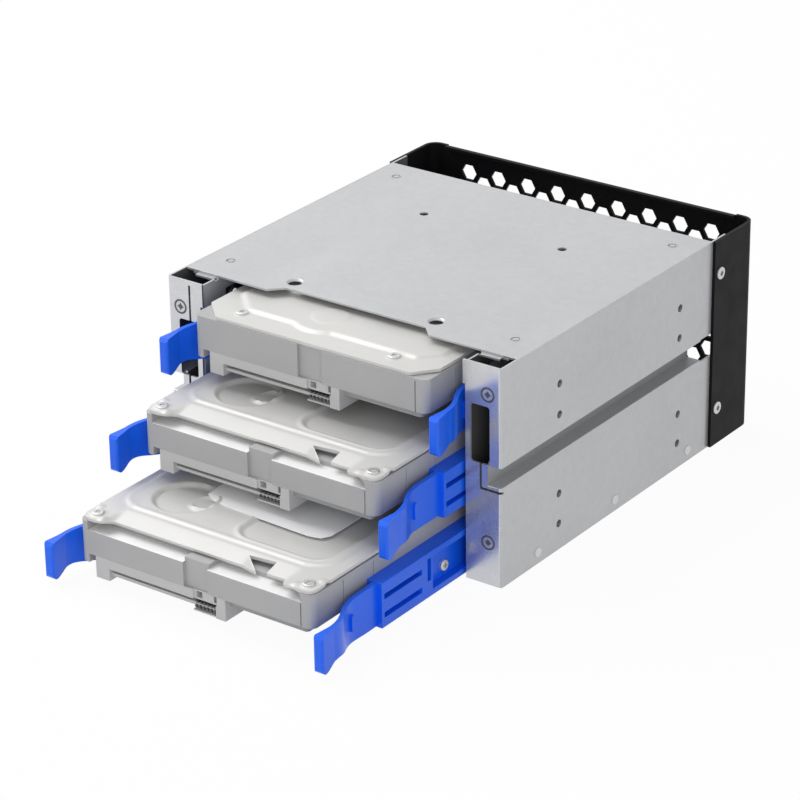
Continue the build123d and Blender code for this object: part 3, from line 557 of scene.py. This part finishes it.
def painted_shade_disc(name, place, radius, vertices, rim=0.0):
    """A thin disc of painted shade that faces the open end, or only its rim where a rim width is given."""
    bpy.ops.object.select_all(action="DESELECT")
    upright = (math.pi / 2, 0, 0)
    bpy.ops.mesh.primitive_circle_add(vertices=vertices, radius=radius * mm, fill_type="NGON",
                                      location=place, rotation=upright)
    piece = bpy.context.object
    piece.name = name
    if rim:
        bpy.ops.object.mode_set(mode="EDIT")
        bpy.ops.mesh.inset(thickness=rim * mm)
        bpy.ops.mesh.delete(type="FACE")
        bpy.ops.object.mode_set(mode="OBJECT")
    bpy.ops.object.transform_apply(location=True, rotation=True, scale=True)
    apply_modifier(piece, "SOLIDIFY", thickness=disc_thickness * mm, offset=1.0)
    piece.data.materials.append(finishes["dark_steel_and_painted_shade"])
    detail(piece, "cage", "screw_steel")


for side_name, side in (("left", -1), ("right", 1)):
    for level, height in (("lower", screws_low.z + head_radius), ("upper", screws_high.z - head_radius)):
        place = Vector((side * (screws_high.x - head_radius), screws_low.y - 0.01, height)) * mm
        prefix = f"{side_name}_{level}_screw"
        # Painted shade: a dark ring over the gap round each head and a dark disc in its recess.
        painted_shade_disc(f"{prefix}_ring", place, ring_outer, 40, ring_outer - ring_inner)
        painted_shade_disc(f"{prefix}_recess", place, recess_radius, 24)
print("rings at heights", round(screws_low.z + head_radius, 1), round(screws_high.z - head_radius, 1))

# %% [markdown]
# ## Rails and handles
# The moulded rails have softer edges than the sheet. Each handle is one with its rail on the real object,
# so its root is drawn back into the rail's end and the joint line closes.

# %% Dress the rails and handles
rail_edge = 0.35
handle_edge = 0.45
root_tuck = 0.9
for sled in sleds:
    for side in ("right", "left"):
        rail = copy_of(f"{sled}_{side}_rail")
        rounded(rail, rail_edge)
        stand_in(rail, f"{sled}_{side}_rail")
        handle = copy_of(f"{sled}_{side}_handle")
        root_y = max(vertex.co.y for vertex in handle.data.vertices)
        rounded(handle, handle_edge, 3)
        for vertex in handle.data.vertices:
            if vertex.co.y > root_y - 0.6 * mm:
                vertex.co.y += root_tuck * mm
        stand_in(handle, f"{sled}_{side}_handle")
print("rails and handles dressed")

# %% [markdown]
# ## Drive lids
# A pressed lid is all gentle slopes: a border ridge, a round seat over the spindle and a lower field
# beside it. These are hard to cut and easy to press, so each lid starts as a fine grid whose heights come
# from a few distance formulas. Between the corner lobes its near border is set back and slopes down over
# the ledges. Beside the folded tab it is cut out with a boolean, because a grid alone would leave that
# notch with ragged edges.

# %% Define the cutting tools
def carve(piece, cutters):
    """Cut shapes out of a piece and throw the cutters away."""
    for cutter in cutters:
        apply_modifier(piece, "BOOLEAN", operation="DIFFERENCE", object=cutter, solver="EXACT")
        bpy.data.objects.remove(cutter)


def cutter_at(origin, low, high):
    """A box to cut with, between two corners counted from a drive's origin."""
    start = [a + b for a, b in zip(origin, low)]
    end = [a + b for a, b in zip(origin, high)]
    return block("cutter", start, end, "cast_alloy")


def prism_at(origin, outline, low_z, high_z):
    """An upright prism to cut with, its counter-clockwise outline counted from a drive's origin."""
    corners = [(origin.x + x, origin.y + y) for x, y in outline]
    count = len(corners)
    points = [Vector((x, y, origin.z + z)) * mm for z in (low_z, high_z) for x, y in corners]
    walls = [(n, (n + 1) % count, count + (n + 1) % count, count + n) for n in range(count)]
    mesh = bpy.data.meshes.new("prism")
    mesh.from_pydata(points, [], [tuple(reversed(range(count))), tuple(range(count, 2 * count))] + walls)
    prism = bpy.data.objects.new("prism", mesh)
    bpy.context.collection.objects.link(prism)
    return prism


print("cutting tools ready")

# %% Define the pressed lid
def ramp(value, start, end):
    """0 before start and 1 after end, with a soft slope between."""
    share = min(max((value - start) / (end - start), 0.0), 1.0)
    return share * share * (3 - 2 * share)


def depth_in_box(x, y, left, right, near, far, radius):
    """How far a point lies inside a rounded rectangle, in millimetres, negative outside it."""
    over_x = max(left + radius - x, x - right + radius)
    over_y = max(near + radius - y, y - far + radius)
    return radius - math.hypot(max(over_x, 0), max(over_y, 0)) - min(max(over_x, over_y), 0)


def depth_in_triangle(x, y, corners):
    """How far a point lies inside a triangle whose corners run counter-clockwise."""
    sides = zip(corners, corners[1:] + corners[:1])
    return min(((bx - ax) * (y - ay) - (by - ay) * (x - ax)) / math.hypot(bx - ax, by - ay)
               for (ax, ay), (bx, by) in sides)


def knob(x, y, centre, radius, height):
    """A low round swelling."""
    return height * ramp(radius - math.dist((x, y), centre), 0, radius * 0.6)


lid_crest = 1.3
ridge_box = (-47.5, 46.0, 14.0, 134.0, 11.0)
field_boxes = ((1.5, 42.0, 18.4, 126.0, 8.0), (-40.0, 42.0, 58.0, 126.0, 8.0))
spindle = (-28.0, 31.0)
spindle_radius = 12.0
spindle_depth = 1.5
hub = (-21.0, 33.0)
hub_radius = 5.0
lobe_knobs = (((46.0, 4.8), 3.6, 0.5), ((42.2, 2.6), 2.0, 0.5), ((48.6, 9.0), 2.0, 0.45))
border_setback = 4.4
border_drop = 1.2
border_slope_start = 5.0
border_slope_end = 12.5
tab_start = (17.4, 4.2)
tab_end = (16.4, 10.4)
tab_drop = 0.2
tab_reach = [(17.9, 1.0), (30.0, 1.0), (16.4, 11.0)]
notch = [(16.4, 10.4), (25.6, 3.3), (25.6, -1.0), (28.0, -1.0), (28.0, 5.1), (27.4, 11.4)]


def border_share(x):
    """1 where the near border of a swept lid is set back and slopes down, 0 under its corner lobes."""
    return ramp(min(x + 41.5, 38.5 - x), 0, 3.0)


def swept_lid(x, y):
    """Height over the flange of the lid on the two lower drives."""
    height = 0.3 * ramp(y, 1, 14)
    slope = min(max((border_slope_end - y) / (border_slope_end - border_slope_start), 0.0), 1.0)
    height -= border_drop * border_share(x) * slope
    ridge = depth_in_box(x, y, *ridge_box)
    height += 0.5 * ramp(ridge, 0, 1.6) - 0.2 * ramp(ridge, 1.8, 3.4)
    height -= spindle_depth * ramp(spindle_radius - math.dist((x, y), spindle), 0, 1.3)
    off_hub = abs(math.dist((x, y), hub) - hub_radius)
    height += 1.0 * ramp(1.4 - off_hub, 0, 1.4) * ramp(x, -27, -22)
    field = max(depth_in_box(x, y, *box) for box in field_boxes)
    height += 0.35 * ramp(field, -2.0, -0.7) * ramp(5.0 + field, 0, 3.0) - 1.2 * ramp(field, 0, 1.4)
    if depth_in_triangle(x, y, tab_reach) > 0:
        along = math.dist(tab_start, tab_end)
        run_x, run_y = tab_end[0] - tab_start[0], tab_end[1] - tab_start[1]
        height -= tab_drop * max(((x - tab_start[0]) * run_y - (y - tab_start[1]) * run_x) / along, 0)
    for centre, radius, rise in lobe_knobs:
        height += knob(abs(x), y, centre, radius, rise)
    return min(height, lid_crest)


facet_left, facet_right, facet_near, facet_far = -47.0, 46.5, 9.5, 135.0
facet_left_cut, facet_right_cut = 12.0, 7.0
facet_seat = (-6.0, 22.0)
facet_bulge = 15.0
facet_seat_radius = 7.4
facet_screws = ((-35.0, 8.0), (31.5, 8.0))


def facet_lid(x, y):
    """Height over the flange of the lid on the top drive.

    Its corners are cut off, and its edge bulges round the seat of its spindle."""
    seat = math.dist((x, y), facet_seat)
    side = min(x - facet_left, facet_right - x)
    inside = min(side, max(y - facet_near, facet_bulge - seat), facet_far - y) / 2.4
    cut = (side + y - facet_near - (facet_left_cut if x < 0 else facet_right_cut)) / 3.5
    height = 0.15 * ramp(y, 1, 9) + (lid_crest - 0.4) * ramp(min(inside, cut), 0, 1)
    height += 0.25 * ramp(facet_seat_radius - seat, 0, 1.0)
    for centre in facet_screws:
        height += knob(x, y, centre, 3.4, 0.35)
    return min(height, lid_crest)


lid_corner = 3.0


def round_corner(x, half):
    """How far an end steps back at this x to round its two corners."""
    over = max(abs(x) - half + lid_corner, 0.0)
    return lid_corner - math.sqrt(max(lid_corner * lid_corner - over * over, 0.0))


def cut_corner(x, half, left_cut, right_cut):
    """How far the near edge steps back at this x where the corners are cut off."""
    return max(left_cut - half - x, 0.0) + max(x - half + right_cut, 0.0) * 1.2


def lobed_edge(x, half):
    """How far the near edge steps back between the two corner lobes."""
    return round_corner(x, half) + border_setback * border_share(x)


def pressed_lid(sled, height_at, near_edge, cut=None):
    """A lid grown from a fine grid. near_edge says how far its near edge steps back, and cut is a hole."""
    origin = drive_origin(sled)
    low, high = (Vector(corner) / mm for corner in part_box(f"{sled}_drive_lid"))
    half = (high.x - low.x) / 2
    length = high.y - low.y
    setback = low.y - origin.y
    bpy.ops.object.select_all(action="DESELECT")
    bpy.ops.mesh.primitive_grid_add(x_subdivisions=140, y_subdivisions=200, size=1.0)
    lid = bpy.context.object
    lid.name = f"{sled}_drive_lid_dressed"
    flange = high.z - lid_crest
    for vertex in lid.data.vertices:
        x = vertex.co.x * 2 * half
        y = (vertex.co.y + 0.5) * length
        near_step = near_edge(x, half) * max(0.0, 1 - y / 30)
        far_step = round_corner(x, half) * max(0.0, y / length - 0.9) * 10
        y += near_step - far_step + setback
        vertex.co = Vector((origin.x + x, origin.y + y, flange + height_at(x, y))) * mm
    lid.data.materials.append(finishes["lid_steel"])
    apply_modifier(lid, "SOLIDIFY", thickness=(flange - low.z - 0.05) * mm, offset=-1.0)
    if cut:
        carve(lid, [prism_at(origin, cut, flange - origin.z - 6, flange - origin.z + 3)])
    only(lid)
    bpy.ops.object.shade_smooth_by_angle(angle=math.radians(50))
    return stand_in(lid, f"{sled}_drive_lid")


for sled in ("bottom", "middle"):
    pressed_lid(sled, swept_lid, lobed_edge, notch)
pressed_lid("top", facet_lid, lambda x, half: cut_corner(x, half, 9.0, 7.0))
print("lids pressed")

# %% [markdown]
# ## Castings
# The near face of a casting has a thin groove beside its right corner, and its side has two creases.
# These are cut into a copy with boolean modifiers, and then all edges are rounded. The wall behind the
# ledges is lowered where the border of the lid slopes down over it. The floors of the two sunk ledges of
# the lower castings are milled and a little brighter, and the lid over them keeps light off; their
# near-white finish is partly that milled metal and partly painted light.

# %% Dress the castings
casting_top = 23.6
ledge_height = 20.3
ledge_depth = 7.3
border_floor = 22.0
clear = 1.0
casting_edge = 0.35
for sled in sleds:
    node = f"{sled}_drive_base"
    origin = drive_origin(sled)
    casting = copy_of(node)
    groove_top = casting_top - 1.0 if sled == "top" else ledge_height - 0.4
    if sled != "top":
        carve(casting, [
            cutter_at(origin, (-38.5, 7.0, border_floor), (35.5, 13.0, casting_top + clear)),
            cutter_at(origin, (-4.7, -clear, border_floor), (6.2, 9.0, casting_top + clear)),
        ])
    carve(casting, [
        cutter_at(origin, (45.7, -clear, 6.0), (46.2, 0.5, groove_top)),
        cutter_at(origin, (50.4, 17.0, 6.0), (52.0, 17.5, casting_top - 1.0)),
        cutter_at(origin, (50.4, 34.0, 8.0), (52.0, 34.4, casting_top - 1.0)),
    ])
    rounded(casting, casting_edge)
    # Partly painted light: the milled ledge floors get a near-white finish that stands in for light the lid
    # keeps off them.
    milled_painted_light = refinish(casting, "milled_painted_light_alloy", lambda middle, normal: normal.z > 0.9
                      and abs(middle.z / mm - origin.z - ledge_height) < 0.2
                      and middle.y / mm < origin.y + ledge_depth)
    stand_in(casting, node)
    print(sled, "casting has", milled_painted_light, "milled faces")
print("castings dressed")

# %% [markdown]
# ## Plugs
# Below the near face sits the plug body: a roof with two small windows, a bright contact tongue in its
# mouth and, at its right, two rows of dark pins over a thin lip. The roof steps back round the windows.
# Step and windows are cut, and the pins are small blocks set out by row and pitch.

# %% Dress the plugs
pin_count = 6
pin_pitch = 1.6
pin_rows = (4.1, 5.9)
window_spans = ((0.4, 3.0), (8.1, 9.4))
window_low, window_high, window_depth = 8.2, 10.6, 3.2
roof_step = 0.7
plug_edge = 0.2
for sled in sleds:
    origin = drive_origin(sled)
    node = f"{sled}_drive_connector"
    plug = copy_of(node)
    carve(plug, [cutter_at(origin, (-0.6, -clear, 7.5), (9.8, roof_step, 11.5))])
    for start, end in window_spans:
        carve(plug, [cutter_at(origin, (start, -clear, window_low), (end, window_depth, window_high))])
    rounded(plug, plug_edge)
    stand_in(plug, node)
    bed = block(f"{sled}_pin_bed", origin + Vector((-0.8, 5.0, 2.9)), origin + Vector((9.4, 6.0, 7.6)),
                "connector_plastic", 0.1)
    lip = block(f"{sled}_pin_lip", origin + Vector((-0.8, 0.3, 2.9)), origin + Vector((9.4, 6.0, 3.4)),
                "connector_plastic", 0.1)
    for piece in (bed, lip):
        detail(piece, f"{sled}_sled", "connector_plastic")
    for row, height in enumerate(pin_rows):
        for n in range(pin_count):
            start = origin + Vector((-0.4 + (n + 0.3 * row) * pin_pitch, 0.6, height))
            pin = block(f"{sled}_pin_{row}_{n}", start, start + Vector((0.8, 5.0, 0.8)), "dark_steel_and_painted_shade", 0.12)
            detail(pin, f"{sled}_sled", "screw_steel")
print("plugs dressed")

# %% [markdown]
# ## Label field of the bottom drive
# The lower field of the bottom lid is covered by a plain white plate with a rounded corner and a slanted
# end.

# %% Lay the plain label
origin = drive_origin("bottom")
label_outline = [
    (-23.5, 44.0), (-23.0, 37.0), (-18.8, 34.2), (-11.6, 32.9), (25.0, 31.5), (29.8, 32.6), (31.8, 36.0),
    (31.8, 100.0), (-23.5, 100.0),
]
label_height = 25.75
label_thickness = 0.3
label_points = [(origin + Vector((x, y, label_height))) * mm for x, y in label_outline]
label_mesh = bpy.data.meshes.new("bottom_label")
label_mesh.from_pydata(label_points, [], [list(range(len(label_points)))])
label = bpy.data.objects.new("bottom_label", label_mesh)
bpy.context.collection.objects.link(label)
apply_modifier(label, "SOLIDIFY", thickness=label_thickness * mm, offset=-1.0)
rounded(label, 0.0)
label.data.materials.append(finishes["label_white"])
detail(label, "bottom_sled", "lid_steel")
print("label laid")
